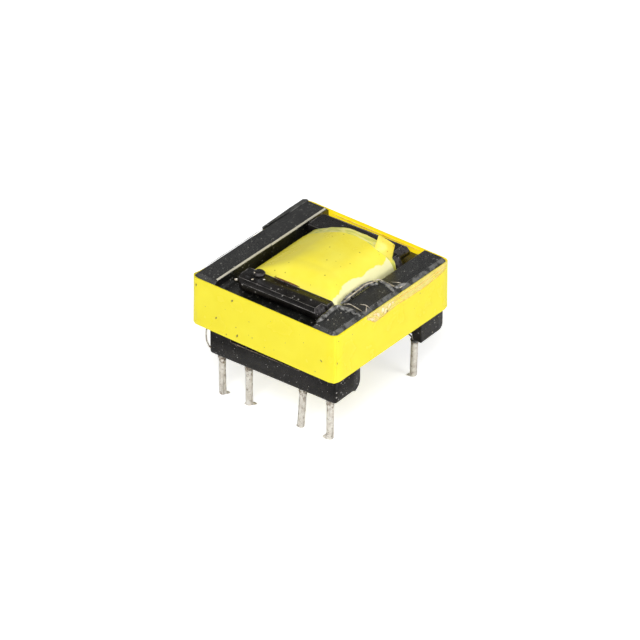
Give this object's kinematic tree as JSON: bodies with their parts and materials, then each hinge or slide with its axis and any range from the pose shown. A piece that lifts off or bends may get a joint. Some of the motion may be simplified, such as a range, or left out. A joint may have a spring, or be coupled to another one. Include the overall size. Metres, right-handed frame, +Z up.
{
  "type": "pcb transformer",
  "caption": "Low-profile ferrite transformer for a circuit board: taped core on a pinned coil former with insulated windings.",
  "frame": {"origin": "centre of the rectangle of the four corner pins, on the board's surface under the feet", "axes": "+Z up off the board, X along the pin rows, -Y the side with the four-pin row and the pin-1 knob"},
  "size_m": [0.0212, 0.0217, 0.0184],
  "materials": {
    "ferrite": "ground manganese-zinc ferrite, dark grey, fine grained and slightly glossy",
    "belt_tape": "glossy yellow polyester tape",
    "bobbin_plastic": "moulded black phenolic, satin",
    "copper_wire": "enamelled copper wire, close wound",
    "insulation_tape": "yellow polyester tape",
    "coil_tape": "yellow polyester tape, wetted with clear varnish",
    "margin_tape": "pale translucent polyester film, varnish-soaked",
    "tinned_pin": "tinned steel wire, dull, with traces of flux",
    "lead_wire": "tinned copper wire"
  },
  "bodies": {
    "root": {"core_half_front": "ferrite", "core_half_rear": "ferrite", "core_tape": "belt_tape", "bobbin": "bobbin_plastic", "primary_winding_inner": "copper_wire", "insulation_tape_inner": "insulation_tape", "secondary_winding": "copper_wire", "insulation_tape_outer": "insulation_tape", "primary_winding_outer": "copper_wire", "outer_tape": "coil_tape", "margin_tape_front": "margin_tape", "margin_tape_rear": "margin_tape", "pin_1": "tinned_pin", "pin_2": "tinned_pin", "pin_3": "tinned_pin", "pin_4": "tinned_pin", "pin_5": "tinned_pin", "pin_6": "tinned_pin", "pin_7": "tinned_pin", "lead_1": "lead_wire", "lead_2": "lead_wire", "lead_3": "lead_wire", "lead_4": "lead_wire", "lead_5": "lead_wire", "lead_6": "lead_wire", "lead_7": "lead_wire"}
  },
  "joints": []
}
